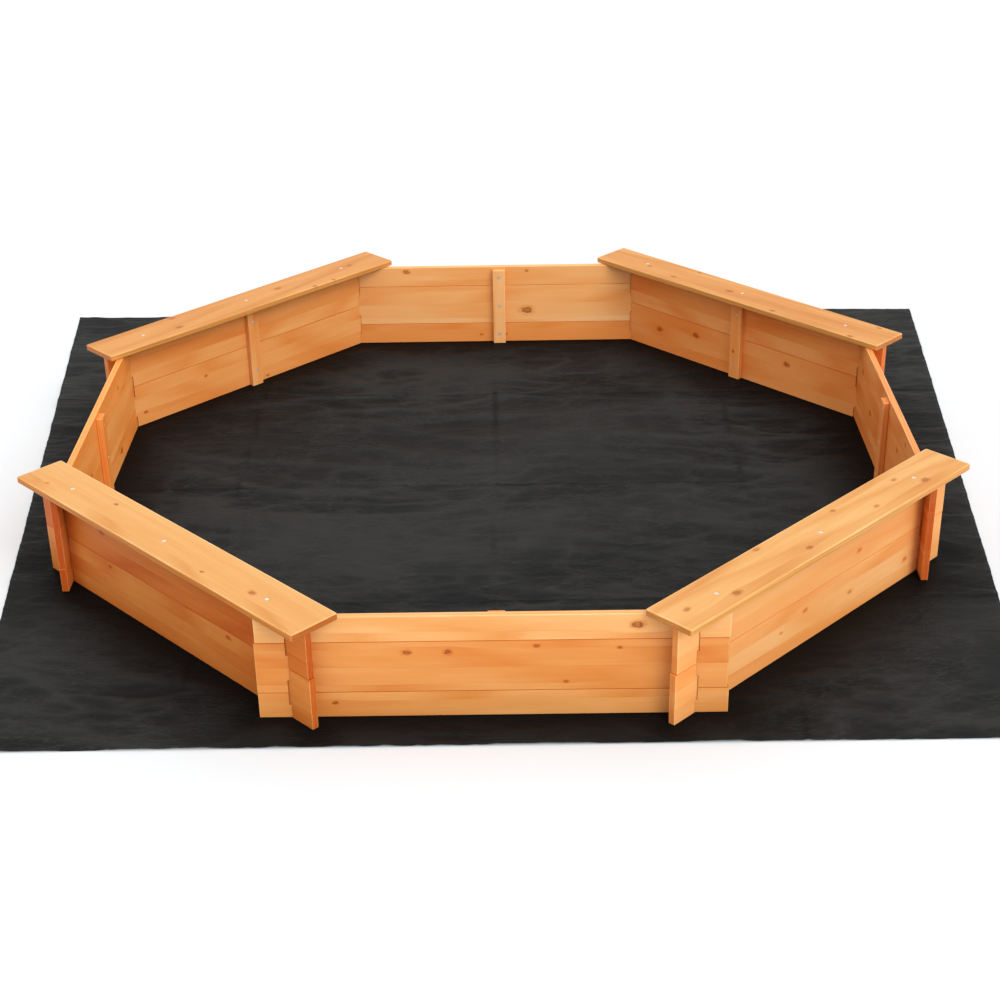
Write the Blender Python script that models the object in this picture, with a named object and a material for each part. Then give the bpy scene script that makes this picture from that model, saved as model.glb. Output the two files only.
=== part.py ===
"""Octagonal timber sandpit with four corner seats, standing on a ground sheet.

The walls are stacked boards.  Neighbouring walls cross just before their ends and are
notched into each other like the logs of a cabin, half a course apart, so each board
locks the one above it and the one below.  Straight walls (front, back, left, right) hold
a half-height board, a full board and another half-height board; diagonal walls hold two
full boards and carry a seat.  A batten is screwed across the boards inside every wall.
"""
import math

import bmesh
import bpy

# ---------------------------------------------------------------- driving dimensions, metres
INSIDE_ACROSS_FLATS = 1.648      # clear width between two opposite walls
WALL_HEIGHT = 0.200              # stack of boards, sheet to wall top
BOARD_THICKNESS = 0.013
STRAIGHT_END = 0.0558            # a straight board's end past the outer corner
DIAGONAL_END = 0.0563            # a diagonal board's end past the outer corner

SEAT_OVERHANG = 0.0135           # a seat's end past its wall's board ends
SEAT_WIDTH = 0.100
SEAT_THICKNESS = 0.0125
SEAT_INSET = 0.003               # seat's centreline sits this much inside the wall's
SEAT_CORNER_RADIUS = 0.004

BATTEN_WIDTH = 0.030
BATTEN_THICKNESS = 0.013
BATTEN_DROP = 0.006              # a straight wall's batten stops this far under its top

SEAT_SCREW_INSET = 0.122         # a seat's outer screws, in from its ends
SEAT_SCREW_LENGTH = 0.035
SEAT_SCREW_RADIUS = 0.002
SEAT_SCREW_HEAD_RADIUS = 0.004
BATTEN_SCREW_BITE = 0.010        # how deep a batten's screw reaches into the wall
BATTEN_SCREW_RADIUS = 0.00175
BATTEN_SCREW_HEAD_RADIUS = 0.0035

SHEET_THICKNESS = 0.001
# How far each corner of the sheet lies past the board ends, sideways and front to back.
# The sheet is laid by hand and spreads wider at the back than at the front.
SHEET_MARGINS = {
    "front_left": (0.009, 0.051),
    "front_right": (0.041, 0.046),
    "back_right": (0.208, 0.127),
    "back_left": (0.222, 0.144),
}

# ---------------------------------------------------------------- fits and edges
GAP = 0.0003                     # between pieces that touch
NOTCH_PLAY = 0.0008              # a notch is this much wider than its board, each side
BOARD_EDGE = 0.0010              # eased edge of a board
SEAT_EDGE = 0.0020
EDGE_ANGLE = math.radians(30)
SCREW_SIDES = 12
SCREW_SINK = 0.0004              # a driven head lies this far under the wood
SCREW_HEAD_RIM = 0.0004
SCREW_TIP = 0.004
CORNER_STEPS = 5

# ---------------------------------------------------------------- worked-out places
WALL_TURN = math.radians(45)
INNER = INSIDE_ACROSS_FLATS / 2
OUTER = INNER + BOARD_THICKNESS
OUTER_HALF_SIDE = OUTER * math.tan(WALL_TURN / 2)
STRAIGHT_LENGTH = 2 * (OUTER_HALF_SIDE + STRAIGHT_END)
DIAGONAL_LENGTH = 2 * (OUTER_HALF_SIDE + DIAGONAL_END)
BASE = SHEET_THICKNESS + GAP     # underside of the lowest boards
COURSE = WALL_HEIGHT / 4
NOTCH_DEPTH = COURSE / 2
SEAT_BASE = BASE + WALL_HEIGHT + GAP
SEAT_LENGTH = DIAGONAL_LENGTH + 2 * SEAT_OVERHANG
SEAT_SCREW_STEP = SEAT_LENGTH / 2 - SEAT_SCREW_INSET
BATTEN_SCREW_LENGTH = BATTEN_THICKNESS + GAP - SCREW_SINK + BATTEN_SCREW_BITE
REACH = (OUTER + DIAGONAL_LENGTH / 2) * math.sin(WALL_TURN)

WALLS = ["right", "back_right", "back", "back_left", "left", "front_left", "front", "front_right"]

# Each course: name, lowest and highest quarter of the wall, notched below, notched above.
STRAIGHT_COURSES = [
    ("lower_board", 0, 1, False, True),
    ("middle_board", 1, 3, True, True),
    ("upper_board", 3, 4, True, False),
]
DIAGONAL_COURSES = [
    ("lower_board", 0, 2, True, True),
    ("upper_board", 2, 4, True, True),
]
# Boards are sawn to length by hand: what each end has lost, taken in turn.
END_TRIMS = (0.0025, 0.0015, 0.0, 0.0005, 0.003, 0.0, 0.001)
# Battens are set by eye: how far each stands off the middle of its wall.
BATTEN_SHIFTS = {"back": 0.010, "front": -0.008, "left": -0.015, "right": -0.010}


def is_diagonal(wall):
    return "_" in wall


# ---------------------------------------------------------------- materials
def srgb(hex_colour):
    """Turn a colour such as E09A58 into the linear values of a shader."""
    values = [int(hex_colour[i:i + 2], 16) / 255 for i in (0, 2, 4)]
    linear = [v / 12.92 if v <= 0.04045 else ((v + 0.055) / 1.055) ** 2.4 for v in values]
    return (*linear, 1.0)


def make_material(name, hex_colour, roughness, metallic=0.0):
    material = bpy.data.materials.new(name)
    material.use_nodes = True
    shader = material.node_tree.nodes["Principled BSDF"]
    shader.inputs["Base Color"].default_value = srgb(hex_colour)
    shader.inputs["Roughness"].default_value = roughness
    shader.inputs["Metallic"].default_value = metallic
    return material


# ---------------------------------------------------------------- mesh helpers
def object_from_bmesh(name, bm, material, parent, location, smooth=False):
    bmesh.ops.recalc_face_normals(bm, faces=bm.faces)
    mesh = bpy.data.meshes.new(name)
    bm.to_mesh(mesh)
    bm.free()
    if smooth:
        mesh.shade_smooth()
        mesh.set_sharp_from_angle(angle=EDGE_ANGLE)
    mesh.materials.append(material)
    obj = bpy.data.objects.new(name, mesh)
    bpy.context.collection.objects.link(obj)
    obj.parent = parent
    obj.location = location
    return obj


def prism(first_outline, second_outline):
    """Close two matching outlines, point for point, into one solid."""
    bm = bmesh.new()
    first = [bm.verts.new(p) for p in first_outline]
    second = [bm.verts.new(p) for p in second_outline]
    bm.faces.new(first)
    bm.faces.new(list(reversed(second)))
    count = len(first)
    for i in range(count):
        j = (i + 1) % count
        bm.faces.new((first[j], first[i], second[i], second[j]))
    return bm


def turned(profile, sides):
    """Spin (radius, height) points, the first and last on the axis, into a closed solid."""
    bm = bmesh.new()
    rings = []
    for radius, height in profile[1:-1]:
        ring = []
        for i in range(sides):
            angle = 2 * math.pi * i / sides
            ring.append(bm.verts.new((radius * math.cos(angle), radius * math.sin(angle), height)))
        rings.append(ring)
    top = bm.verts.new((0, 0, profile[0][1]))
    tip = bm.verts.new((0, 0, profile[-1][1]))
    for i in range(sides):
        j = (i + 1) % sides
        bm.faces.new((top, rings[0][i], rings[0][j]))
        bm.faces.new((tip, rings[-1][j], rings[-1][i]))
        for upper, lower in zip(rings, rings[1:]):
            bm.faces.new((upper[i], lower[i], lower[j], upper[j]))
    return bm


def ease_edges(obj, width, segments):
    bevel = obj.modifiers.new("eased_edges", "BEVEL")
    bevel.width = width
    bevel.segments = segments
    bevel.limit_method = "ANGLE"
    bevel.angle_limit = EDGE_ANGLE


def drill(obj, cutter):
    cut = obj.modifiers.new("hole_" + cutter.name, "BOOLEAN")
    cut.operation = "DIFFERENCE"
    cut.solver = "EXACT"
    cut.object = cutter


# ---------------------------------------------------------------- walls
def wall_frame(wall, number):
    """An empty at the centre whose +Y points out through the middle of this wall."""
    frame = bpy.data.objects.new("frame_" + wall, None)
    bpy.context.collection.objects.link(frame)
    frame.rotation_euler = (0, 0, number * WALL_TURN - math.radians(90))
    return frame


def crossing(radius):
    """Where a neighbour board passes through this wall, along the wall, at this radius."""
    near = (INNER - NOTCH_PLAY) / math.sin(WALL_TURN) - radius
    far = (OUTER + NOTCH_PLAY) / math.sin(WALL_TURN) - radius
    return near, far


def board_outline(radius, start, end, height, notched_below, notched_above):
    """The side view of a board, cut where it stands this far from the centre."""
    near, far = crossing(radius)
    floor = NOTCH_DEPTH
    bottom = [(start, 0)]
    if notched_below:
        bottom += [(-far, 0), (-far, floor), (-near, floor), (-near, 0)]
        bottom += [(near, 0), (near, floor), (far, floor), (far, 0)]
    bottom += [(end, 0)]
    top = [(end, height)]
    if notched_above:
        ceiling = height - floor
        top += [(far, height), (far, ceiling), (near, ceiling), (near, height)]
        top += [(-near, height), (-near, ceiling), (-far, ceiling), (-far, height)]
    top += [(start, height)]
    return [(x, radius - INNER, z) for x, z in bottom + top]


def make_board(name, length, trims, course, material, frame):
    lowest, highest, notched_below, notched_above = course
    height = (highest - lowest) * COURSE - GAP
    start = -length / 2 + trims[0]
    end = length / 2 - trims[1]
    faces = []
    for radius in (INNER, OUTER):
        faces.append(board_outline(radius, start, end, height, notched_below, notched_above))
    location = (0, INNER, BASE + lowest * COURSE + (GAP / 2 if lowest else 0))
    board = object_from_bmesh(name, prism(*faces), material, frame, location)
    ease_edges(board, BOARD_EDGE, 1)
    return board


# ---------------------------------------------------------------- seats, battens, screws
def rounded_rectangle(length, width, radius, height):
    points = []
    for quarter, (sx, sy) in enumerate([(1, 1), (-1, 1), (-1, -1), (1, -1)]):
        centre_x = sx * (length / 2 - radius)
        centre_y = sy * (width / 2 - radius)
        for step in range(CORNER_STEPS):
            angle = math.radians(90) * (quarter + step / (CORNER_STEPS - 1))
            x = centre_x + radius * math.cos(angle)
            y = centre_y + radius * math.sin(angle)
            points.append((x, y, height))
    return points


def make_seat(wall, material, frame):
    outlines = []
    for height in (0, SEAT_THICKNESS):
        outlines.append(rounded_rectangle(SEAT_LENGTH, SEAT_WIDTH, SEAT_CORNER_RADIUS, height))
    centreline = (INNER + OUTER) / 2 - SEAT_INSET
    location = (0, centreline, SEAT_BASE)
    seat = object_from_bmesh("seat_" + wall, prism(*outlines), material, frame, location)
    ease_edges(seat, SEAT_EDGE, 2)
    return seat


def make_batten(wall, material, frame):
    top = WALL_HEIGHT - (0 if is_diagonal(wall) else BATTEN_DROP)
    half = BATTEN_WIDTH / 2
    outlines = []
    for depth in (0, BATTEN_THICKNESS):
        outlines.append([(-half, depth, 0), (half, depth, 0), (half, depth, top), (-half, depth, top)])
    shift = BATTEN_SHIFTS.get(wall, 0)
    location = (shift, INNER - GAP - BATTEN_THICKNESS, BASE)
    batten = object_from_bmesh("batten_" + wall, prism(*outlines), material, frame, location)
    ease_edges(batten, BOARD_EDGE, 1)
    return batten


def screw_profile(head_radius, shank_radius, length, grow=0.0, lead=0.0):
    """Half outline of a countersunk screw; grow widens it to the hole that it sits in."""
    cone = head_radius - shank_radius
    profile = [(0, lead), (head_radius + grow, lead)]
    profile += [(head_radius + grow, -SCREW_HEAD_RIM - grow)]
    profile += [(shank_radius + grow, -SCREW_HEAD_RIM - cone - grow)]
    profile += [(shank_radius + grow, -length + SCREW_TIP - grow)]
    profile += [(shank_radius / 4 + grow, -length - grow), (0, -length - grow)]
    return profile


def make_screw(name, sizes, material, frame, location, tilt):
    """A driven screw, and the cutter for its hole.  Its axis is -Z before tilt turns it."""
    screw_mesh = turned(screw_profile(*sizes), SCREW_SIDES)
    screw = object_from_bmesh(name, screw_mesh, material, frame, location, smooth=True)
    hole_mesh = turned(screw_profile(*sizes, grow=GAP, lead=2 * SCREW_SINK + GAP), SCREW_SIDES)
    cutter = object_from_bmesh("cutter_" + name, hole_mesh, material, frame, location)
    cutter.hide_render = True
    cutter.display_type = "WIRE"
    for obj in (screw, cutter):
        obj.rotation_euler = (tilt, 0, 0)
    return cutter


def fasten_seat(wall, seat, board, material, frame):
    sizes = (SEAT_SCREW_HEAD_RADIUS, SEAT_SCREW_RADIUS, SEAT_SCREW_LENGTH)
    height = SEAT_BASE + SEAT_THICKNESS - SCREW_SINK
    for number in range(3):
        x = (number - 1) * SEAT_SCREW_STEP
        location = (x, (INNER + OUTER) / 2, height)
        name = f"seat_screw_{wall}_{number + 1}"
        cutter = make_screw(name, sizes, material, frame, location, 0)
        drill(seat, cutter)
        drill(board, cutter)


def fasten_batten(wall, batten, boards, material, frame):
    """One screw through the batten into the middle of each board."""
    sizes = (BATTEN_SCREW_HEAD_RADIUS, BATTEN_SCREW_RADIUS, BATTEN_SCREW_LENGTH)
    x = BATTEN_SHIFTS.get(wall, 0)
    depth = INNER - GAP - BATTEN_THICKNESS + SCREW_SINK
    for number, (board, (_, lowest, highest, _, _)) in enumerate(zip(boards, STRAIGHT_COURSES)):
        height = BASE + COURSE * (lowest + highest) / 2
        name = f"batten_screw_{wall}_{number + 1}"
        cutter = make_screw(name, sizes, material, frame, (x, depth, height), math.radians(90))
        drill(batten, cutter)
        drill(board, cutter)


def make_sheet(material):
    signs = {"front": -1, "back": 1, "left": -1, "right": 1}
    corners = []
    for corner, (sideways, lengthways) in SHEET_MARGINS.items():
        end, side = corner.split("_")
        corners.append((signs[side] * (REACH + sideways), signs[end] * (REACH + lengthways)))
    outlines = [[(x, y, height) for x, y in corners] for height in (0, SHEET_THICKNESS)]
    object_from_bmesh("ground_sheet", prism(*outlines), material, None, (0, 0, 0))


def build():
    for obj in list(bpy.data.objects):
        bpy.data.objects.remove(obj, do_unlink=True)
    board_wood = make_material("wall_board_fir", "DC8F4E", 0.55)
    seat_wood = make_material("seat_fir", "EFB270", 0.50)
    batten_wood = make_material("batten_fir", "D98A48", 0.55)
    zinc = make_material("zinc_plated_steel", "C9C4B8", 0.35, 1.0)
    sheet_cloth = make_material("woven_polypropylene", "2E2E2F", 0.60)

    make_sheet(sheet_cloth)
    trim_count = 0
    for number, wall in enumerate(WALLS):
        frame = wall_frame(wall, number)
        courses = DIAGONAL_COURSES if is_diagonal(wall) else STRAIGHT_COURSES
        length = DIAGONAL_LENGTH if is_diagonal(wall) else STRAIGHT_LENGTH
        boards = []
        for course_name, *course in courses:
            trims = [END_TRIMS[(trim_count + end) % len(END_TRIMS)] for end in (0, 1)]
            trim_count += 2
            name = f"{wall}_{course_name}"
            boards.append(make_board(name, length, trims, course, board_wood, frame))
        batten = make_batten(wall, batten_wood, frame)
        if is_diagonal(wall):
            seat = make_seat(wall, seat_wood, frame)
            fasten_seat(wall, seat, boards[-1], zinc, frame)
        else:
            fasten_batten(wall, batten, boards, zinc, frame)


build()
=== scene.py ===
# %% [markdown]
# # An octagonal timber sandpit on its ground sheet
#
# The sandpit is a ring of eight low walls. Four of them carry a seat. Boards of
# neighbouring walls cross just before their ends and are notched into each other like the
# logs of a cabin, and a woven black sheet lies under everything to keep weeds out.
# This lesson loads the measured model first and then makes each piece again with the
# detail that the real one shows: eased edges, glued strips, knots, screws and wrinkles.
# Sizes are in metres, except those of knots, which are in millimetres.

# %% Load the measured model
import math
from itertools import product

import bmesh
import bpy
from mathutils import Matrix, Vector, noise


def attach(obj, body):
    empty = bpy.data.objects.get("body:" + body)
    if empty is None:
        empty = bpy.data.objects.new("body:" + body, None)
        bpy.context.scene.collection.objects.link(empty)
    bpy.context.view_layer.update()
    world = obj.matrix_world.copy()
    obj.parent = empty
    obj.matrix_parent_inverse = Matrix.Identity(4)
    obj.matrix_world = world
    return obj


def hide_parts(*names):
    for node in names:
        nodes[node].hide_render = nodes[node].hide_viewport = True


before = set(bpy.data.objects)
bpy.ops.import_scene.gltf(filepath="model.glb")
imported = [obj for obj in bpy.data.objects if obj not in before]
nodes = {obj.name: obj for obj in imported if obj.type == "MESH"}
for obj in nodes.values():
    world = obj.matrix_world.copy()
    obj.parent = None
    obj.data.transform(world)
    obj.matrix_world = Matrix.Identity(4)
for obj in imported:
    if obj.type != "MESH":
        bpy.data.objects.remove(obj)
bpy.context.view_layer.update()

# %% [markdown]
# ## Walls and their own axes
#
# Every wall is the same idea turned by 45 degrees. It is far easier to make a board lying
# along X, with Y pointing out of the sandpit, and to turn the finished object, than to
# work out eight sets of coordinates. It also gives every board an X axis that runs with
# the grain, which the wood needs later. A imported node's sizes are read in the same axes.

# %% Walls
WALL_TURN = math.radians(45)
WALLS = ["right", "back_right", "back", "back_left", "left", "front_left", "front", "front_right"]


def is_diagonal(wall):
    return "_" in wall


def wall_axes(wall):
    """Turns a wall's own axes (X along it, Y outwards, Z up) into the model's axes."""
    return Matrix.Rotation(WALLS.index(wall) * WALL_TURN - math.radians(90), 4, "Z")


def measure(node, wall):
    """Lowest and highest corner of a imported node, in its wall's own axes."""
    inverse = wall_axes(wall).inverted()
    points = [inverse @ vertex.co for vertex in nodes[node].data.vertices]
    low = Vector([min(p[i] for p in points) for i in range(3)])
    high = Vector([max(p[i] for p in points) for i in range(3)])
    return low, high


front_low, front_high = measure("front_middle_board", "front")
INNER = front_low.y
OUTER = front_high.y
print(f"a wall's faces stand {INNER:.4f} and {OUTER:.4f} m from the centre")

# %% [markdown]
# ## Colours and nodes
#
# Colours are written as sRGB hex values, the way a paint chart shows them, and one
# function turns them into the linear values that a shader works with. Another small
# function adds any node with its settings and links in one go, so that a material reads
# like a list. It hands back the node's first output, ready for the next link.

# %% Helpers for materials
def srgb(hex_colour):
    """Turn a colour such as E09A58 into the linear values of a shader."""
    values = [int(hex_colour[i:i + 2], 16) / 255 for i in (0, 2, 4)]
    linear = [v / 12.92 if v <= 0.04045 else ((v + 0.055) / 1.055) ** 2.4 for v in values]
    return (*linear, 1.0)


def give(tree, node, inputs):
    """Give a node its inputs, by name or in order: sockets are linked, values are set."""
    named = inputs if isinstance(inputs, dict) else dict(enumerate(inputs))
    for key, value in named.items():
        socket = node.inputs[key] if isinstance(key, int) else None
        socket = socket or next(s for s in node.inputs if s.name == key and s.enabled)
        if isinstance(value, bpy.types.NodeSocket):
            tree.links.new(value, socket)
        else:
            socket.default_value = value


def add(tree, kind, inputs=(), operation=None, stops=(), **settings):
    """Add a node with its inputs, its operation, a ramp's colour stops and other settings."""
    node = tree.nodes.new("ShaderNode" + kind)
    if operation:
        node.operation = operation
    for name, value in settings.items():
        setattr(node, name, value)
    give(tree, node, inputs)
    for number, (position, colour) in enumerate(stops):
        elements = node.color_ramp.elements
        element = elements[number] if number < 2 else elements.new(position)
        element.position = position
        element.color = srgb(colour)
    return next(s for s in node.outputs if s.enabled)


def new_material(name):
    """A material with its own nodes, its node tree and its shader."""
    material = bpy.data.materials.new(name)
    material.use_nodes = True
    return material, material.node_tree, material.node_tree.nodes["Principled BSDF"]


def new_group(name, inputs, outputs):
    """A node group with the named sockets: its tree, what it is given and its end node."""
    tree = bpy.data.node_groups.new(name, "ShaderNodeTree")
    for socket_name, kind in inputs.items():
        tree.interface.new_socket(socket_name, in_out="INPUT", socket_type="NodeSocket" + kind)
    for socket_name, kind in outputs.items():
        tree.interface.new_socket(socket_name, in_out="OUTPUT", socket_type="NodeSocket" + kind)
    start = tree.nodes.new("NodeGroupInput")
    end = tree.nodes.new("NodeGroupOutput")
    return tree, start.outputs, end


MATH = "Math"
VECTOR = "VectorMath"
MIX = "Mix"
RANGE = "MapRange"
NOISE = "TexNoise"

# %% [markdown]
# ## Stained fir
#
# The boards are fir, planed and dipped in a honey-coloured stain. Each one is glued up
# from narrow strips that came from different trees, so the tone jumps a little from strip
# to strip, and the growth rings run straight in one strip and in long flames in the next.
#
# A picture of wood would repeat on every board. Growth rings are easy to draw from what
# they are instead: shells around the middle of the trunk. Each strip gets its own trunk,
# a random distance under the face and a little out of line with the board, and the
# distance to that trunk's middle makes the rings, on the faces and on the sawn ends.
#
# Real rings are 2 to 4 mm apart and fibres are finer still, too fine to show from across a
# garden, so rings are drawn 7 mm apart and fibres as streaks 4 mm wide.

# %% Growth rings in glued strips
STRIP_WIDTH = 0.034
RING_SPACING = 0.007
# Scales per metre along the board, across its face and through it.
FIBRE_SCALE = (7.0, 240.0, 120.0)       # streaks 4 mm wide and 140 mm long
WANDER_SCALE = (5.0, 34.0, 34.0)        # rings bend over 30 mm across and 200 mm along
CLOUD_SCALE = (6.0, 38.0, 10.0)         # paler and deeper patches, 26 by 170 mm
RING_WANDER = 0.012


def make_grain_group():
    """Board coordinates (along, across the face, through it) to the marks of the grain."""
    tree, given, end = new_group(
        "grain_of_glued_strips",
        {"Vector": "Vector", "Seed": "Float", "Strip Width": "Float"},
        {"Tone": "Float", "Ring": "Float", "Fibre": "Float", "Cloud": "Float"},
    )
    place = add(tree, "SeparateXYZ", {"Vector": given["Vector"]}).node.outputs
    # Which strip a point lies in, and three random numbers for that strip.
    row_place = add(tree, MATH, (place["Y"], given["Strip Width"]), "DIVIDE")
    row = add(tree, MATH, (row_place,), "FLOOR")
    strip_key = add(tree, "CombineXYZ", {"X": row, "Y": given["Seed"]})
    strip = add(tree, "TexWhiteNoise", {"Vector": strip_key}, noise_dimensions="3D")
    chance = add(tree, "SeparateXYZ", {"Vector": strip.node.outputs["Color"]}).node.outputs

    # The trunk's middle, seen from the middle of this strip.
    row_part = add(tree, MATH, (row_place,), "FRACT")
    row_centred = add(tree, MATH, (row_part, 0.5), "SUBTRACT")
    from_row = add(tree, MATH, (row_centred, given["Strip Width"]), "MULTIPLY")
    stretched = add(tree, VECTOR, (given["Vector"], WANDER_SCALE), "MULTIPLY")
    seeded = add(tree, "CombineXYZ", {"X": given["Seed"], "Y": given["Seed"], "Z": chance["X"]})
    wander_at = add(tree, VECTOR, (stretched, seeded), "ADD")
    wander = add(tree, NOISE, {"Vector": wander_at, "Scale": 1.0, "Detail": 2.0, "Roughness": 0.5})
    wander_by = add(tree, MATH, (wander, RING_WANDER), "MULTIPLY")
    pith_across = add(tree, RANGE, {"Value": chance["X"], "To Min": -0.05, "To Max": 0.05})
    pith_below = add(tree, RANGE, {"Value": chance["Y"], "To Min": 0.012, "To Max": 0.055})
    lean = add(tree, RANGE, {"Value": chance["Z"], "To Min": -0.055, "To Max": 0.055})
    leaning = add(tree, MATH, (place["X"], lean, pith_across), "MULTIPLY_ADD")
    across_off = add(tree, MATH, (from_row, leaning), "ADD")
    across_bent = add(tree, MATH, (across_off, wander_by), "ADD")
    dive = add(tree, MATH, (lean, -0.6), "MULTIPLY")
    diving = add(tree, MATH, (place["X"], dive, pith_below), "MULTIPLY_ADD")
    through_off = add(tree, MATH, (place["Z"], diving), "ADD")
    shell_at = add(tree, "CombineXYZ", {"X": across_bent, "Y": through_off})
    shell = add(tree, VECTOR, (shell_at,), "LENGTH").node.outputs["Value"]
    rings = add(tree, MATH, (shell, 1 / RING_SPACING), "MULTIPLY")
    ring_part = add(tree, MATH, (rings,), "FRACT")
    # Pale early wood darkens slowly into late wood, and then starts again at once.
    ring = add(tree, "ValToRGB", {"Fac": ring_part}, stops=[
        (0.0, "A0A0A0"), (1.0, "B0B0B0"), (0.14, "000000"), (0.50, "404040"), (0.86, "FFFFFF"),
    ])
    fibre_at = add(tree, VECTOR, (given["Vector"], FIBRE_SCALE), "MULTIPLY")
    fibre_seeded = add(tree, VECTOR, (fibre_at, seeded), "ADD")
    fibre = add(tree, NOISE, {"Vector": fibre_seeded, "Scale": 1.0, "Detail": 3.0,
                              "Roughness": 0.6})
    cloud_at = add(tree, VECTOR, (given["Vector"], CLOUD_SCALE), "MULTIPLY")
    cloud_seeded = add(tree, VECTOR, (cloud_at, seeded), "ADD")
    cloud = add(tree, NOISE, {"Vector": cloud_seeded, "Scale": 1.0, "Detail": 2.0,
                              "Roughness": 0.55})
    give(tree, end, {"Tone": strip, "Ring": ring, "Fibre": fibre, "Cloud": cloud})
    return tree


grain_group = make_grain_group()
print("grain group:", len(grain_group.nodes), "nodes")

# %% [markdown]
# ## Knots
#
# A knot is a branch cut through. It is a small dark oval with a darker rim, and the grain
# flows round it like water round a post. That flow has a simple formula: squeeze the
# distance from the knot's centre line as the point comes near, and straight grain bends
# into an eye. Each knot takes in the board's coordinates and hands them on bent, so any
# number can follow one another.

# %% A knot
KNOT_OVAL = (0.62, 1.0, 0.0)             # a knot is half as long again along the grain
KNOT_ROUGH_SCALE = (130.0, 220.0, 220.0)        # a ragged rim, 5 to 8 mm from dent to dent
KNOT_FLOW_OVAL = (0.3, 1.0, 0.0)
KNOT_REACH = 2.0         # the grain bends this many radii round the knot


def make_knot_group():
    """Coordinates, and the knots drawn so far, to the same with one more knot."""
    tree, given, end = new_group(
        "knot",
        {"Vector": "Vector", "Centre": "Vector", "Radius": "Float", "Depth": "Float",
         "Core": "Float", "Halo": "Float"},
        {"Vector": "Vector", "Core": "Float", "Halo": "Float"},
    )
    offset = add(tree, VECTOR, (given["Vector"], given["Centre"]), "SUBTRACT")
    oval = add(tree, VECTOR, (offset, KNOT_OVAL), "MULTIPLY")
    rough_at = add(tree, VECTOR, (given["Vector"], KNOT_ROUGH_SCALE), "MULTIPLY")
    rough = add(tree, NOISE, {"Vector": rough_at, "Scale": 1.0, "Detail": 1.0})
    distance = add(tree, VECTOR, (oval,), "LENGTH").node.outputs["Value"]
    shape = add(tree, MATH, (distance, given["Radius"]), "DIVIDE")
    rough_by = add(tree, MATH, (rough, 1.3, -0.65), "MULTIPLY_ADD")
    ragged = add(tree, MATH, (shape, rough_by), "ADD")
    # A dark rim round a slightly paler middle.
    core = add(tree, "ValToRGB", {"Fac": ragged}, stops=[
        (0.0, "C8C8C8"), (1.0, "000000"), (0.40, "B4B4B4"), (0.66, "FFFFFF"), (0.80, "B8B8B8"),
    ])
    core_deep = add(tree, MATH, (core, given["Depth"]), "MULTIPLY")
    core_all = add(tree, MATH, (core_deep, given["Core"]), "MAXIMUM")
    halo = add(tree, RANGE, {"Value": ragged, "From Min": 1.9, "From Max": 0.9,
                             "To Min": 0.0, "To Max": 1.0}, interpolation_type="SMOOTHSTEP")
    halo_all = add(tree, MATH, (halo, given["Halo"]), "MAXIMUM")

    flow_at = add(tree, VECTOR, (offset, KNOT_FLOW_OVAL), "MULTIPLY")
    flow = add(tree, VECTOR, (flow_at, flow_at), "DOT_PRODUCT").node.outputs["Value"]
    reach = add(tree, MATH, (given["Radius"], KNOT_REACH), "MULTIPLY")
    reach_squared = add(tree, MATH, (reach, reach), "MULTIPLY")
    bottom = add(tree, MATH, (flow, reach_squared), "ADD")
    squeeze = add(tree, MATH, (reach_squared, bottom), "DIVIDE")
    away = add(tree, "SeparateXYZ", {"Vector": offset}).node.outputs["Y"]
    moved = add(tree, MATH, (away, squeeze), "MULTIPLY")
    bend = add(tree, "CombineXYZ", {"Y": moved})
    bent = add(tree, VECTOR, (given["Vector"], bend), "SUBTRACT")
    give(tree, end, {"Vector": bent, "Core": core_all, "Halo": halo_all})
    return tree


knot_group = make_knot_group()
print("knot group:", len(knot_group.nodes), "nodes")

# %% [markdown]
# ## One stain for every board
#
# A stain is a thin coloured filter over pale wood. Where the wood drinks more of it, the
# light passes the same filter more than once, so the colour grows darker and more orange
# together. Raising the colour to a power does exactly that. Every mark on the wood, from
# strips and rings to clouds, worn edges with a painted highlight, seams and thirsty sawn
# ends, some with painted shade, therefore only adds to or takes from one number, the
# depth of the stain.
#
# Stained fir gives the eye a warm, slightly satin orange. Wood's index of refraction is
# about 1.5 and its thin stain leaves a roughness near 0.5. Every board gets a material of
# its own, with its own strips and knots, and each wall its own stain colour, which is
# partly its own batch of stain and partly painted light and shade.

# %% Stained fir
# Each wall's colour is partly its batch of stain and partly painted light and shade: a wall is
# made paler or deeper to match how it is lit.
WALL_STAINS_AND_SHADE = {
    "right": "DB833F", "back_right": "E58C45", "back": "E9A766", "back_left": "DD904B",
    "left": "E99447", "front_left": "CA742F", "front": "D38A46", "front_right": "E5A05E",
}
SEAT_STAIN = "C98D4A"
# Boards drawn deeper than the rest of their wall, or paler.
BOARD_DEPTH_SHIFTS = {
    "back_lower_board": 0.46, "front_upper_board": -0.13, "front_left_upper_board": 0.1,
    "front_lower_board": -0.04, "seat_back_left": 0.18, "seat_back_right": 0.16,
}
KNOT_BROWN = "642C12"
# Walls whose sawn ends are deeper and browner: stain drunk by sawn ends, and painted shade where
# the neighbouring seats overhang them.
ENDS_SOAKED_AND_SHADED = {"left": 0.8, "right": 0.5}
# How much each mark changes the stain's depth, which is 1 on plain wood.
STRIP_CHANGE = 0.18
RING_CHANGE = 0.21
FIBRE_CHANGE = 0.18
CLOUD_CHANGE = 0.30
END_CHANGE = 0.3
WEAR_AND_HIGHLIGHT_CHANGE = -0.42
SEAM_AND_SHADE_CHANGE = 0.4
HALO_CHANGE = 0.30
END_BROWN = 0.5          # the share of knot brown on a sawn end, for each step of end change
WEAR_AND_HIGHLIGHT_SCALE = 35.0        # spots of wear and painted highlight about 30 mm apart
# What the grain changes altogether; rings count for less, as they are mostly pale.
SPREAD = STRIP_CHANGE + RING_CHANGE * 0.6 + FIBRE_CHANGE + CLOUD_CHANGE


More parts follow.
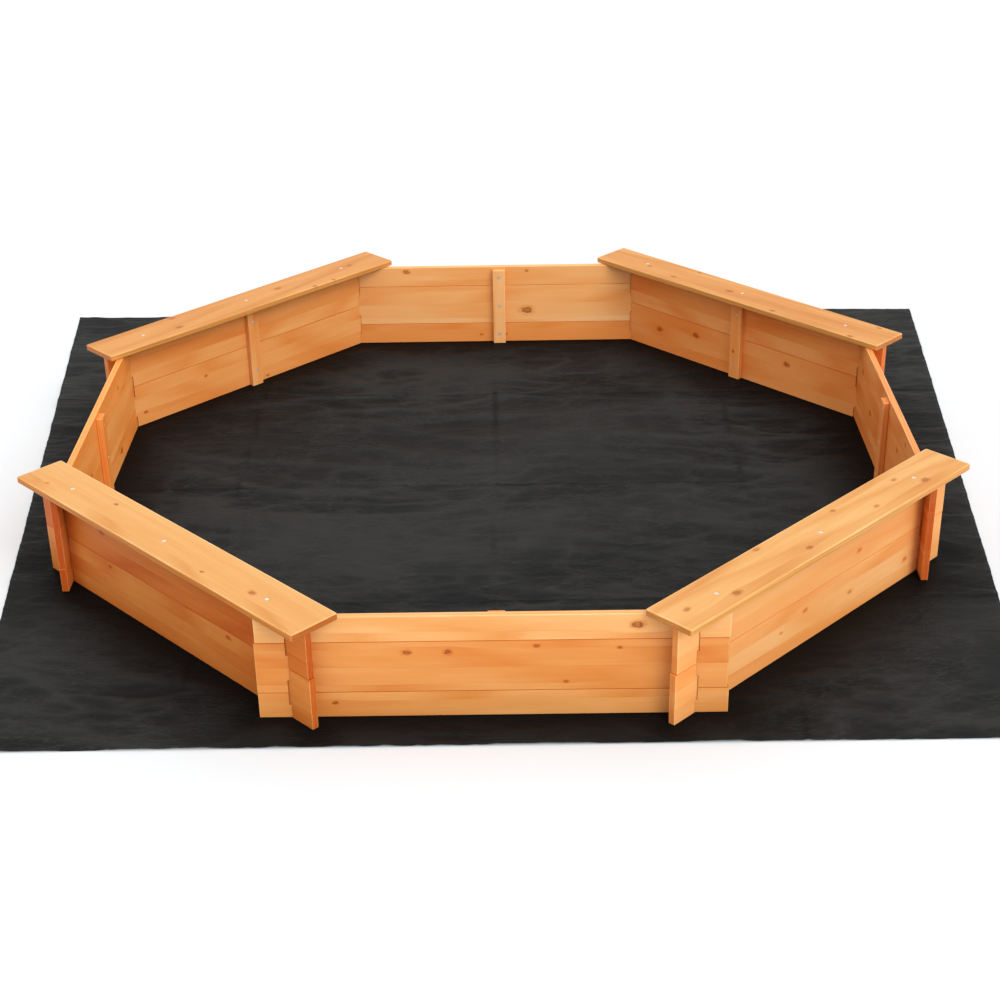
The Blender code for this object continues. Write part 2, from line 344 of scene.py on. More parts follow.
def stained_fir(name, seed, stain, knots, axes="XZY", strip_width=STRIP_WIDTH, depth_shift=0.0,
                end_change=END_CHANGE):
    """Fir with its own strips and knots, which are (along, across, radius, darkness) in mm.

    Axes are the piece's own axes along the grain, across its face and through it.
    """
    material, tree, shader = new_material(name)
    place = add(tree, "TexCoord").node.outputs["Object"]
    parts = add(tree, "SeparateXYZ", {"Vector": place}).node.outputs
    coordinates = add(tree, "CombineXYZ", {to: parts[axis] for to, axis in zip("XYZ", axes)})
    core, halo = 0.0, 0.0
    for knot_along, knot_across, radius, darkness in knots:
        knot = add(tree, "Group", node_tree=knot_group, inputs={
            "Vector": coordinates, "Centre": (knot_along / 1000, knot_across / 1000, 0.0),
            "Radius": radius / 1000, "Depth": darkness, "Core": core, "Halo": halo,
        }).node
        coordinates = knot.outputs["Vector"]
        core = knot.outputs["Core"]
        halo = knot.outputs["Halo"]
    grain = add(tree, "Group", node_tree=grain_group, inputs={
        "Vector": coordinates, "Seed": seed, "Strip Width": strip_width,
    }).node.outputs

    # Worn edges turn paler, which also paints a highlight along them.
    worn_and_highlit = add(tree, "Attribute", attribute_name="wear").node.outputs["Fac"]
    wear_and_highlight_noise = add(tree, NOISE, {"Vector": place, "Scale": WEAR_AND_HIGHLIGHT_SCALE, "Detail": 2.0})
    wear_and_highlight_part = add(tree, MATH, (worn_and_highlit, wear_and_highlight_noise), "MULTIPLY")
    # Dark seams where boards meet; on one seat the same mask paints shade along its upright edge.
    seam_near = add(tree, "Attribute", attribute_name="seam").node.outputs["Fac"]
    seam = add(tree, MATH, (seam_near, 3.0), "POWER")
    # Sawn ends face along the grain.
    normal = add(tree, "TexCoord").node.outputs["Normal"]
    facing = add(tree, "SeparateXYZ", {"Vector": normal}).node.outputs
    end_part = add(tree, MATH, (facing[axes[0]],), "ABSOLUTE")
    sawn = add(tree, RANGE, {"Value": end_part, "From Min": 0.8, "From Max": 0.95})

    # Starting half a spread below 1 keeps the average depth at 1.
    depth = 1.0 + depth_shift - SPREAD / 2
    changes = [(grain["Tone"], STRIP_CHANGE), (grain["Ring"], RING_CHANGE),
               (grain["Fibre"], FIBRE_CHANGE), (grain["Cloud"], CLOUD_CHANGE),
               (wear_and_highlight_part, WEAR_AND_HIGHLIGHT_CHANGE), (seam, SEAM_AND_SHADE_CHANGE), (sawn, end_change)]
    if knots:
        changes.append((halo, HALO_CHANGE))
    for mark, change in changes:
        depth = add(tree, MATH, (mark, change, depth), "MULTIPLY_ADD")
    coloured = add(tree, "Gamma", {"Color": srgb(stain), "Gamma": depth})
    # Sawn ends and knot cores turn brown; on the left and right walls the sawn ends' extra brown
    # is painted shade.
    browned = add(tree, MATH, (sawn, end_change * END_BROWN, core), "MULTIPLY_ADD")
    coloured = add(tree, MIX, {"Factor": browned, "A": coloured, "B": srgb(KNOT_BROWN)},
                   data_type="RGBA")
    gloss = add(tree, RANGE, {"Value": grain["Fibre"], "To Min": 0.46, "To Max": 0.60})
    raised = add(tree, MATH, (grain["Ring"], 0.5, grain["Fibre"]), "MULTIPLY_ADD")
    bump = add(tree, "Bump", {"Height": raised, "Strength": 0.25, "Distance": 0.0004})
    give(tree, shader, {"Base Color": coloured, "Roughness": gloss, "Normal": bump,
                        "IOR": 1.5, "Specular IOR Level": 0.3})
    return material


print("batches of stain:", len(WALL_STAINS_AND_SHADE) + 1)

# %% [markdown]
# ## Boards from cells
#
# A board is a long box with notches. It could be cut with boolean tools, but those leave
# large, uneven faces. Here the board is a grid of small cells in three directions, the
# cells inside a notch are left out, and every face between wood and air becomes a quad.
# The walls of a notch lie at 45 degrees, so each line of the grid has one place on the
# inner face and another on the outer face.
#
# Lines 2.5 mm inside every edge make room for what time does to that edge, stored in the
# mesh as two values from 0 to 1: wear, with a painted highlight, on a free edge, and a dark
# seam where two boards meet. A narrow bevel then rounds all edges, as sanding does.

# %% Cell solids
EDGE_BAND = 0.0025
EASED_RADIUS = 0.0012
SHARP_ANGLE = math.radians(30)
SAME_HEIGHT = 1e-5


def cell_solid(columns, inner, outer, levels, is_wood, seams=(), sheltered=math.inf):
    """A closed mesh of grid cells; columns are (place on the inner face, on the outer).

    Seams are the heights at which another board lies against this one. Sheltered is how
    far from the middle the notches begin, whose edges nothing wears.
    """
    thickness = outer - inner
    depths = [0, EDGE_BAND / thickness, 1 - EDGE_BAND / thickness, 1]
    counts = (len(columns) - 1, len(depths) - 1, len(levels) - 1)
    bm = bmesh.new()
    corners = {}

    def corner(at):
        if at not in corners:
            i, j, k = at
            along = columns[i][0] + (columns[i][1] - columns[i][0]) * depths[j]
            corners[at] = bm.verts.new((along, inner + thickness * depths[j], levels[k]))
        return corners[at]

    def wooden(cell):
        return all(0 <= cell[a] < counts[a] for a in range(3)) and is_wood(*cell)

    for cell in filter(wooden, product(*map(range, counts))):
        for a, side in product(range(3), (0, 1)):
            next_cell = list(cell)
            next_cell[a] += 2 * side - 1
            if wooden(next_cell):
                continue
            ring = []
            for b_step, c_step in ((0, 0), (1, 0), (1, 1), (0, 1)):
                at = list(cell)
                at[a] += side
                at[(a + 1) % 3] += b_step
                at[(a + 2) % 3] += c_step
                ring.append(corner(tuple(at)))
            bm.faces.new(ring)
    bmesh.ops.recalc_face_normals(bm, faces=bm.faces)
    mark_edges(bm, seams, sheltered, columns[-1][0] - EDGE_BAND * 2)
    return bm


def mark_edges(bm, seams, sheltered, open_again):
    """Give vertices on a free outer edge a wear and painted highlight of 1, and those on a seam a
    seam of 1.
    """
    wear = bm.verts.layers.float.new("wear")
    seam = bm.verts.layers.float.new("seam")
    for vertex in bm.verts:
        outer_edges = [e for e in vertex.link_edges if e.is_convex]
        on_edge = any(e.calc_face_angle(0) > SHARP_ANGLE for e in outer_edges)
        on_seam = any(abs(vertex.co.z - height) < SAME_HEIGHT for height in seams)
        vertex[seam] = 1.0 if on_seam else 0.0
        in_notch = sheltered < abs(vertex.co.x) < open_again
        vertex[wear] = 1.0 if on_edge and not on_seam and not in_notch else 0.0


# %% From mesh to piece
def close_skin(bm, skin):
    """Join rings of vertices, each to the next, and close both ends."""
    for ring, following in zip(skin, skin[1:]):
        for i in range(len(ring)):
            j = (i + 1) % len(ring)
            bm.faces.new((ring[i], ring[j], following[j], following[i]))
    bm.faces.new(skin[0])
    bm.faces.new(skin[-1])
    bmesh.ops.recalc_face_normals(bm, faces=bm.faces)


def make_object(name, bm, material=None):
    """Turn a finished bmesh into an object in the scene."""
    mesh = bpy.data.meshes.new(name)
    bm.to_mesh(mesh)
    bm.free()
    if material:
        mesh.materials.append(material)
    obj = bpy.data.objects.new(name, mesh)
    bpy.context.collection.objects.link(obj)
    return obj


def settle(obj):
    """Turn an object's modifiers into its mesh."""
    graph = bpy.context.evaluated_depsgraph_get()
    made = bpy.data.meshes.new_from_object(obj.evaluated_get(graph))
    obj.modifiers.clear()
    obj.data = made


def even_normals(obj):
    """Let large flat faces decide the shading, so that only the rounded edges look round."""
    weighing = obj.modifiers.new("even_normals", "WEIGHTED_NORMAL")
    weighing.keep_sharp = True
    settle(obj)


def new_piece(name, bm, wall, material, bevel=None):
    """A piece that stands in its wall's axes, with its edges eased where a bevel is given."""
    obj = make_object(name, bm, material)
    obj.data.shade_smooth()
    obj.matrix_world = wall_axes(wall)
    if bevel:
        rounding = obj.modifiers.new("eased_edges", "BEVEL")
        rounding.width = bevel
        rounding.segments = 3
        rounding.limit_method = "ANGLE"
        rounding.angle_limit = SHARP_ANGLE
        rounding.harden_normals = True
    return obj


def spaced(start, end, step):
    """Places from start to end, both included, at most one step apart."""
    count = max(1, math.ceil((end - start) / step))
    return [start + (end - start) * i / count for i in range(count + 1)]


print(f"edges eased to a radius of {EASED_RADIUS * 1000} mm")

# %% [markdown]
# ## Wall boards
#
# A straight wall is a half board, a full board and another half board; a diagonal wall is
# two full boards. Each board is notched where the next wall's boards pass through it. The
# notch is 25 mm deep, half of the 50 mm by which the two walls' boards are staggered.

# %% Wall boards
NOTCH_DEPTH = 0.025
NOTCH_PLAY = 0.0014
COLUMN_STEP = 0.04
SIN_TURN = math.sin(WALL_TURN)
STRAIGHT_BOARDS = {"lower_board": (False, True), "middle_board": (True, True),
                   "upper_board": (True, False)}
DIAGONAL_BOARDS = {"lower_board": (True, True), "upper_board": (True, True)}


def board_columns(start, end):
    """Grid lines along a board, and which columns of cells lie in a notch."""
    near = (INNER - NOTCH_PLAY) / SIN_TURN
    far = (OUTER + NOTCH_PLAY) / SIN_TURN
    right = [(place - INNER, place - OUTER)
             for place in (near - EDGE_BAND, near, far, far + EDGE_BAND)]
    left = [(-a, -b) for a, b in reversed(right)]
    middle = spaced(left[-1][0] + COLUMN_STEP, right[0][0] - COLUMN_STEP, COLUMN_STEP)
    lines = [(start, start), (start + EDGE_BAND, start + EDGE_BAND)] + left
    lines += [(place, place) for place in middle] + right
    lines += [(end - EDGE_BAND, end - EDGE_BAND), (end, end)]
    first_notch = 3
    second_notch = len(lines) - 5
    return lines, (first_notch, second_notch)


def board_levels(bottom, top):
    inner_levels = {bottom + EDGE_BAND, top - EDGE_BAND}
    inner_levels |= {bottom + NOTCH_DEPTH, top - NOTCH_DEPTH}
    levels = [bottom]
    for level in sorted(inner_levels):
        if level - levels[-1] > EDGE_BAND / 2:
            levels.append(level)
    return levels + [top]


def make_board(wall, course, notched_below, notched_above, material):
    node = f"{wall}_{course}"
    low, high = measure(node, wall)
    columns, notches = board_columns(low.x, high.x)
    levels = board_levels(low.z, high.z)
    floor = low.z + NOTCH_DEPTH
    ceiling = high.z - NOTCH_DEPTH

    def is_wood(i, j, k):
        if i not in notches:
            return True
        middle = (levels[k] + levels[k + 1]) / 2
        if notched_below and middle < floor:
            return False
        return not (notched_above and middle > ceiling)

    seams = [low.z, high.z]
    if course == "upper_board" and not is_diagonal(wall):
        seams = [low.z]
    first_line = columns[notches[1]][0]
    bm = cell_solid(columns, low.y, high.y, levels, is_wood, seams, first_line - COLUMN_STEP)
    board = new_piece(f"fir_{node}", bm, wall, material, EASED_RADIUS)
    settle(board)
    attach(board, "root")
    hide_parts(node)


# %% The boards and their knots
# Knots by board: (along from the wall's middle, height, radius, darkness), in mm.
BOARD_KNOTS = {
    "front_middle_board": [
        (145, 130, 4.5, 0.9), (75, 130, 4, 0.9), (-75, 140, 3, 0.7), (-215, 135, 2.5, 0.9),
        (-125, 70, 2.5, 0.6),
    ],
    "front_upper_board": [(-245, 180, 6.5, 0.8)],
    "front_lower_board": [(270, 30, 3, 0.9)],
    "back_middle_board": [(80, 85, 9, 0.9)],
    "back_upper_board": [(-220, 190, 5, 0.8), (80, 190, 3, 0.6)],
    "back_lower_board": [(-35, 20, 3, 0.6), (25, 20, 3, 0.6)],
    "back_right_lower_board": [(-245, 55, 5, 0.8), (-130, 70, 5.5, 0.9), (145, 75, 5, 0.8)],
    "back_left_lower_board": [(-315, 30, 3, 0.8), (-140, 65, 3, 0.8), (40, 10, 2.5, 0.8)],
    "left_lower_board": [(160, 30, 6, 0.9)],
    "left_middle_board": [(-120, 110, 4, 0.6)],
    "left_upper_board": [(195, 165, 4, 0.7)],
    "right_middle_board": [(-285, 140, 5, 0.8), (-175, 90, 5, 0.8), (105, 135, 4, 0.7)],
    "right_upper_board": [(170, 180, 4, 0.7)],
    "front_right_lower_board": [
        (-280, 45, 4.5, 0.5), (-100, 50, 4, 0.4), (40, 70, 4, 0.4), (110, 55, 2.5, 0.4),
    ],
    "front_right_upper_board": [(440, 150, 4, 0.8), (-120, 130, 4, 0.5)],
    "front_left_upper_board": [(200, 160, 5, 0.7), (-440, 140, 4, 0.8)],
    "front_left_lower_board": [(-180, 90, 3.5, 0.6), (185, 90, 2.5, 0.8)],
}
for number, wall in enumerate(WALLS):
    courses = DIAGONAL_BOARDS if is_diagonal(wall) else STRAIGHT_BOARDS
    for level, (course, (below, above)) in enumerate(courses.items()):
        name = f"{wall}_{course}"
        wood = stained_fir(f"stained_fir_{name}", 3.7 * number + 11.3 * level + 1.1,
                           WALL_STAINS_AND_SHADE[wall], BOARD_KNOTS.get(name, []),
                           depth_shift=BOARD_DEPTH_SHIFTS.get(name, 0.0),
                           end_change=ENDS_SOAKED_AND_SHADED.get(wall, END_CHANGE))
        make_board(wall, course, below, above, wood)
print("wall boards made")

# %% [markdown]
# ## Screws
#
# Zinc-plated wood screws with countersunk heads. The head and the cross recess are what
# shows, but the shank and its thread are made as well, so the screw is whole when it is
# lifted out. The thread is a ring of points whose radius rises and falls as it goes round
# and down. All screws of one length share a mesh.

# %% Screw shapes
SEAT_SCREW = (0.0040, 0.0020, 0.035)     # radius of the head, of the shank, and length
BATTEN_SCREW = (0.0035, 0.00175, 0.023)
SCREW_SIDES = 20
THREAD_PITCH = 0.0022
THREAD_HEIGHT = 0.0006
THREAD_CORE = 0.72       # the radius between the ridges, as a share of the shank's
THREAD_SHARPNESS = 5     # a ridge takes two fifths of the pitch
CROSS_ARM = (0.62, 0.14, 0.5)    # half length, half width and depth, in head radii
RING_STEP = 0.0004
TIP_LENGTH = 0.005
HEAD_RIM = 0.0005
HOLE_PLAY = 0.0003
HOLE_DEPTH = 0.02
SCREW_SINK = 0.0003


def turned(rings):
    """A solid from rings of (radius for each side, height)."""
    bm = bmesh.new()
    skin = []
    for radii, height in rings:
        ring = []
        for side, radius in enumerate(radii):
            angle = 2 * math.pi * side / SCREW_SIDES
            ring.append(bm.verts.new((radius * math.cos(angle), radius * math.sin(angle), height)))
        skin.append(ring)
    close_skin(bm, skin)
    return bm


def even(radius):
    return [radius] * SCREW_SIDES


def cross_cutter(half_length, half_width, depth):
    """A tapering bar that cuts one arm of a cross recess."""
    bm = bmesh.new()
    skin = []
    for length, width, height in ((half_length, half_width, 0.001),
                                  (half_length * 0.4, half_width * 0.7, -depth)):
        skin.append([bm.verts.new((x * length, y * width, height))
                     for x, y in ((-1, -1), (1, -1), (1, 1), (-1, 1))])
    close_skin(bm, skin)
    return make_object("cross_arm", bm)


def cut(obj, cutters):
    """Take cutters out of an object, then remove them."""
    for cutter in cutters:
        taking = obj.modifiers.new("cut", "BOOLEAN")
        taking.operation = "DIFFERENCE"
        taking.solver = "EXACT"
        taking.object = cutter
    bpy.context.view_layer.update()
    settle(obj)
    for cutter in cutters:
        bpy.data.objects.remove(cutter)


def screw_mesh(name, head_radius, shank_radius, length, material):
    """A countersunk screw along -Z with the middle of its head at the origin."""
    cone = head_radius - shank_radius
    rings = [(even(head_radius - 0.0003), 0.0), (even(head_radius), -0.0002),
             (even(head_radius), -HEAD_RIM), (even(shank_radius), -HEAD_RIM - cone)]
    depth = HEAD_RIM + cone + 0.001
    while depth < length:
        taper = min(1.0, (length - depth) / TIP_LENGTH)
        radii = []
        for side in range(SCREW_SIDES):
            phase = (depth / THREAD_PITCH + side / SCREW_SIDES) % 1
            ridge = max(0.0, 1 - abs(phase - 0.5) * THREAD_SHARPNESS)
            radius = shank_radius * THREAD_CORE + THREAD_HEIGHT * ridge
            radii.append(radius * max(taper, 0.08))
        rings.append((radii, -depth))
        depth += RING_STEP
    rings.append((even(shank_radius * 0.05), -length))
    pattern = make_object(name, turned(rings), material)
    arms = []
    for turn in (0, 90):
        arm = cross_cutter(*[head_radius * share for share in CROSS_ARM])
        arm.rotation_euler = (0, 0, math.radians(turn))
        arms.append(arm)
    cut(pattern, arms)
    made = pattern.data
    made.shade_smooth()
    made.set_sharp_from_angle(angle=SHARP_ANGLE)
    bpy.data.objects.remove(pattern)
    return made


def screw_axes(wall, place, tilt):
    """Axes at a place on a wall, tilted so that -Z points the way the screw goes in."""
    return wall_axes(wall) @ Matrix.Translation(place) @ Matrix.Rotation(tilt, 4, "X")


def sink_cutter(wall, place, screw, tilt):
    """A countersunk hole at a place on a wall, a little wider than its screw."""
    head_radius, shank_radius, _ = screw
    head = even(head_radius + HOLE_PLAY)
    shank = even(shank_radius + HOLE_PLAY)
    cutter = make_object("hole", turned([
        (head, 0.002), (head, -HEAD_RIM),
        (shank, -HEAD_RIM - head_radius + shank_radius), (shank, -HOLE_DEPTH),
    ]))
    cutter.matrix_world = screw_axes(wall, place, tilt)
    return cutter


# %% Zinc and the finished screws
ZINC_SCALE = 600.0       # chalky patches a little under 2 mm wide


def zinc_plated_steel():
    """Zinc on steel; its chalky skin hides part of the metal, so it is not a full mirror."""
    material, tree, shader = new_material("zinc_plated_steel")
    place = add(tree, "TexCoord").node.outputs["Object"]
    patches = add(tree, NOISE, {"Vector": place, "Scale": ZINC_SCALE, "Detail": 2.0})
    colour = add(tree, "ValToRGB", {"Fac": patches}, stops=[
        (0.3, "C9C7C2"), (0.7, "EEECE6"),
    ])
    dulled = add(tree, RANGE, {"Value": patches, "To Min": 0.38, "To Max": 0.55})
    give(tree, shader, {"Base Color": colour, "Roughness": dulled, "Metallic": 0.6})
    return material


zinc = zinc_plated_steel()
seat_screw_mesh = screw_mesh("seat_screw", *SEAT_SCREW, zinc)
batten_screw_mesh = screw_mesh("batten_screw", *BATTEN_SCREW, zinc)
print("screw faces:", len(seat_screw_mesh.polygons), len(batten_screw_mesh.polygons))


def drive(name, mesh, wall, place, tilt, turn, replaced=None):
    """Put a screw in its hole, turned as the driver happened to leave it."""
    screw = bpy.data.objects.new(name, mesh)
    bpy.context.collection.objects.link(screw)
    screw.matrix_world = screw_axes(wall, place, tilt) @ Matrix.Rotation(turn, 4, "Z")
    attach(screw, "root")
    if replaced:
        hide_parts(replaced)

# %% [markdown]
# ## Seats
#
# A seat is a flat board with its corners and edges rounded, because children sit on it.
# It is lofted: the same rounded outline is repeated from the underside round the edge to
# the top, each time a little in or out, and the last outline at each side is closed with
# one flat face.

# %% Seats
SEAT_CORNER_RADIUS = 0.004
SEAT_EDGE_RADIUS = 0.0022
SEAT_STRIP_WIDTH = 0.05
CORNER_STEPS = 7
EDGE_STEPS = 5


def rounded_outline(low, high, inset, height):
    """Points round a seat, a little inside its largest outline."""
    points = []
    radius = max(SEAT_CORNER_RADIUS - inset, 0.001)
    middle = (low + high) / 2
    for quarter, (sx, sy) in enumerate(((1, 1), (-1, 1), (-1, -1), (1, -1))):
        centre_x = middle.x + sx * ((high.x - low.x) / 2 - inset - radius)
        centre_y = middle.y + sy * ((high.y - low.y) / 2 - inset - radius)
        for step in range(CORNER_STEPS):
            angle = math.radians(90) * (quarter + step / (CORNER_STEPS - 1))
            points.append((centre_x + radius * math.cos(angle),
                           centre_y + radius * math.sin(angle), height))
    return points


def seat_solid(low, high, edge_shade):
    """Outlines from the underside's flat, round the edge, to the top's flat."""
    profile = [(SEAT_EDGE_RADIUS * 2, low.z, 0.0, 0.0)]
    for step in range(EDGE_STEPS + 1):
        angle = math.radians(90) * step / EDGE_STEPS
        inset = SEAT_EDGE_RADIUS * (1 - math.sin(angle))
        height = low.z + SEAT_EDGE_RADIUS * (1 - math.cos(angle))
        # Wear with its painted highlight is 1 where the edge meets a flat face; on one seat the
        # upright edge gets painted shade.
        profile.append((inset, height, math.cos(angle), math.sin(angle) * edge_shade))
    profile += [(inset, low.z + high.z - height, wear, painted_shade)
                for inset, height, wear, painted_shade in reversed(profile)]
    bm = bmesh.new()
    wear_layer = bm.verts.layers.float.new("wear")
    seam_layer = bm.verts.layers.float.new("seam")
    skin = []
    for inset, height, wear, painted_shade in profile:
        ring = []
        for point in rounded_outline(low, high, inset, height):
            vertex = bm.verts.new(point)
            vertex[wear_layer] = wear
            vertex[seam_layer] = painted_shade
            ring.append(vertex)
        skin.append(ring)
    close_skin(bm, skin)
    return bm


# %% The seats and their knots
# Knots by seat: (along, distance from the sandpit's middle, radius, darkness), in mm.
SEAT_KNOTS = {
    "front_right": [
        (270, 855, 5.5, 0.7), (370, 830, 4, 0.5), (60, 850, 4, 0.6), (-80, 800, 3.5, 0.5),
        (-150, 845, 3.5, 0.4), (-260, 810, 3.5, 0.5), (-300, 850, 5.5, 0.7), (130, 790, 4, 0.3),
    ],
    "front_left": [
        (180, 810, 3, 0.9), (-260, 835, 4.5, 0.7), (-140, 850, 2.5, 0.7), (350, 850, 2.5, 0.2),
    ],
    "back_left": [
        (320, 830, 4, 0.5), (100, 835, 5, 0.5), (170, 785, 3.5, 0.8), (230, 785, 3, 0.8),
        (-190, 865, 4, 0.5), (-210, 810, 5, 0.5),
    ],
    "back_right": [
        (-280, 820, 3.5, 0.5), (-190, 805, 4, 0.5), (-160, 865, 3, 0.5), (-30, 820, 5, 0.5),
        (120, 790, 4, 0.6), (340, 785, 4, 0.7), (360, 865, 3.5, 0.5),
    ],
}
# The seat whose upright edge is painted darker, as painted shade.
SHADED_EDGE_SEAT = "front_left"
for number, wall in enumerate([w for w in WALLS if is_diagonal(w)]):
    low, high = measure(f"seat_{wall}", wall)
    edge_shade = 1.0 if wall == SHADED_EDGE_SEAT else 0.0
    wood = stained_fir(f"stained_fir_seat_{wall}", 5.3 * number + 2.2, SEAT_STAIN,
                       SEAT_KNOTS.get(wall, []), axes="XYZ", strip_width=SEAT_STRIP_WIDTH,
                       depth_shift=BOARD_DEPTH_SHIFTS.get(f"seat_{wall}", 0.0))
    seat = new_piece(f"fir_seat_{wall}", seat_solid(low, high, edge_shade), wall, wood)
    holes = []
    for screw_number in (1, 2, 3):
        node = f"seat_screw_{wall}_{screw_number}"
        screw_low, screw_high = measure(node, wall)
        place = (screw_low + screw_high) / 2
        place.z = high.z - SCREW_SINK
        holes.append(sink_cutter(wall, place, SEAT_SCREW, 0.0))
        drive(f"zinc_{node}", seat_screw_mesh, wall, place, 0.0, screw_number + number, node)
    cut(seat, holes)
    even_normals(seat)
    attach(seat, "root")
    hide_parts(f"seat_{wall}")
print("seats made")

# %% [markdown]
# ## Battens
#
# An upright batten is screwed across the boards inside each wall and holds them together.
# Its grain runs upwards. Straight walls have a screw into each of their three boards and
# diagonal walls one into each of their two.

# %% Battens
def batten_solid(low, high):
    columns = [low.x, low.x + EDGE_BAND, high.x - EDGE_BAND, high.x]
    levels = [low.z, low.z + EDGE_BAND]
    levels += spaced(low.z + 0.03, high.z - 0.03, COLUMN_STEP)
    levels += [high.z - EDGE_BAND, high.z]
    return cell_solid([(x, x) for x in columns], low.y, high.y, levels, lambda i, j, k: True)


BATTEN_STRIP_WIDTH = 0.09        # wider than a batten, so each is one strip or two
BATTEN_END_CHANGE = 0.15
DIAGONAL_SCREW_SHIFT = 0.011     # towards the ends of the batten
UPRIGHT_TILT = math.radians(90)
BATTEN_KNOTS = {"back_right": [(70, -4, 3, 0.8)]}
for number, wall in enumerate(WALLS):
    low, high = measure(f"batten_{wall}", wall)
    wood = stained_fir(f"stained_fir_batten_{wall}", 7.9 * number + 4.4, WALL_STAINS_AND_SHADE[wall],
                       BATTEN_KNOTS.get(wall, []), axes="ZXY",
                       strip_width=BATTEN_STRIP_WIDTH, end_change=BATTEN_END_CHANGE)
    batten = new_piece(f"fir_batten_{wall}", batten_solid(low, high), wall, wood, EASED_RADIUS)
    settle(batten)
    courses = DIAGONAL_BOARDS if is_diagonal(wall) else STRAIGHT_BOARDS
    holes = []
    for screw_number, course in enumerate(courses, 1):
        board_low, board_high = measure(f"{wall}_{course}", wall)
        height = (board_low.z + board_high.z) / 2
        if is_diagonal(wall):
            height += DIAGONAL_SCREW_SHIFT * (1 if screw_number == 2 else -1)
        place = Vector(((low.x + high.x) / 2, low.y + SCREW_SINK, height))
        holes.append(sink_cutter(wall, place, BATTEN_SCREW, UPRIGHT_TILT))
        node = f"batten_screw_{wall}_{screw_number}"
        replaced = None if is_diagonal(wall) else node
        drive(f"zinc_{node}", batten_screw_mesh, wall, place, UPRIGHT_TILT,
              number * 2.1 + screw_number, replaced)
    cut(batten, holes)
    even_normals(batten)
    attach(batten, "root")
    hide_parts(f"batten_{wall}")
print("battens made")

# %% [markdown]
# ## The ground sheet
#
# The sheet is woven from flat black polypropylene tapes. It was folded in its packet and
# then spread by hand, so it lies in small wrinkles, nearly all of them running from side
# to side, and keeps the straight lines of its folds. A cloth simulation would need a very
# fine mesh for wrinkles a few millimetres wide. Noise gives the same look directly: a grid
# over the sheet's four corners is raised by ridges that are long in X and narrow in Y. It
# is pressed flat where boards stand on it, and painted darker near the walls, as painted
# shade that the walls cast on it.
#
# The tapes are about 2 mm wide, too fine to show, so the weave shows only as what it does
# to the light: a matt black with hardly any gloss. Crinkles 15 mm apart are drawn instead,
# and their crests get a painted highlight of grey, while the fold lines get painted shade.

# %% Ground sheet
SHEET_COLUMNS = 190
SHEET_ROWS = 430
SHEET_THICKNESS = 0.0004
PRESSED_HEIGHT = 0.0004
PRESSED_REACH = 0.06             # how far from a board the sheet is still held flat
WALL_SHADE_REACH = 0.20
FOOT_HALF_LENGTH = 0.41          # of the line where a wall's boards stand on the sheet
FOOT_HALF_WIDTH = 0.012
SLOW_BEND = 0.0015
# Wrinkles per metre in X and in Y, and their height.
WRINKLES = ((2.6, 8.0, 0.0030), (7.0, 20.0, 0.0024), (17.0, 45.0, 0.0016))
FOLDS_X = (-0.55, 0.0, 0.53)
FOLDS_Y = (-0.46, 0.02, 0.49)
FOLD_WIDTH = 0.006
FOLD_RISE = 0.0030
CREST_HEIGHT = 0.005             # wrinkles this high get the palest painted highlight
RIDGE_SHARPNESS = 2.2


def sheet_corners():
    """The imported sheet's corners, going round from the front left."""
    flat = [vertex.co.xy.copy() for vertex in nodes["ground_sheet"].data.vertices]
    return [max(flat, key=lambda p: p.x * sx + p.y * sy)
            for sx, sy in ((-1, -1), (1, -1), (1, 1), (-1, 1))]


def near_walls(x, y, reach):
    """1 where a board stands on the sheet, falling to 0 at the reach from it."""
    most = 0.0
    for number in range(len(WALLS)):
        angle = number * WALL_TURN
        out = x * math.cos(angle) + y * math.sin(angle)
        aside = abs(x * math.sin(angle) - y * math.cos(angle))
        past_side = max(0.0, abs(out - (INNER + OUTER) / 2) - FOOT_HALF_WIDTH)
        past_end = max(0.0, aside - FOOT_HALF_LENGTH)
        distance = math.hypot(past_side, past_end)
        most = max(most, 1 - min(1.0, distance / reach))
    return most * most * (3 - 2 * most)


def ridge(x, y, along, across, seed):
    """A sharp-topped wrinkle pattern from 0 to 1."""
    value = noise.noise(Vector((x * along, y * across, seed)))
    return 1 - min(1.0, abs(value) * RIDGE_SHARPNESS)


def fold(place, lines, other):
    """The tent of a fold line, which wanders a little and fades here and there."""
    wander = 0.004 * noise.noise(Vector((other * 14, 0.0, 21.0)))
    height = 0.0
    for number, line in enumerate(lines):
        fade = min(1.0, max(0.0, 0.7 + 1.4 * noise.noise(Vector((other * 4, number, 33.0)))))
        distance = abs(place + wander - line)
        height = max(height, FOLD_RISE * fade * (1 - min(1.0, distance / FOLD_WIDTH)))
    return height


def sheet_height(x, y):
    """Slow bends, wrinkles of three sizes that come and go, and the folds."""
    warp = 0.03 * noise.noise(Vector((x * 2.5, y * 2.5, 9.0)))
    calm = 0.45 + 0.9 * (0.5 + noise.noise(Vector((x * 2.2, y * 2.2, 15.0))))
    height = (noise.noise(Vector((x * 1.8, y * 3.5, 4.0))) + 0.6) * SLOW_BEND
    for number, (along, across, rise) in enumerate(WRINKLES, 1):
        height += ridge(x, y + warp, along, across, number) ** 3 * rise * calm
    return max(0.0, height) + fold(x, FOLDS_X, y) + fold(y, FOLDS_Y, x)


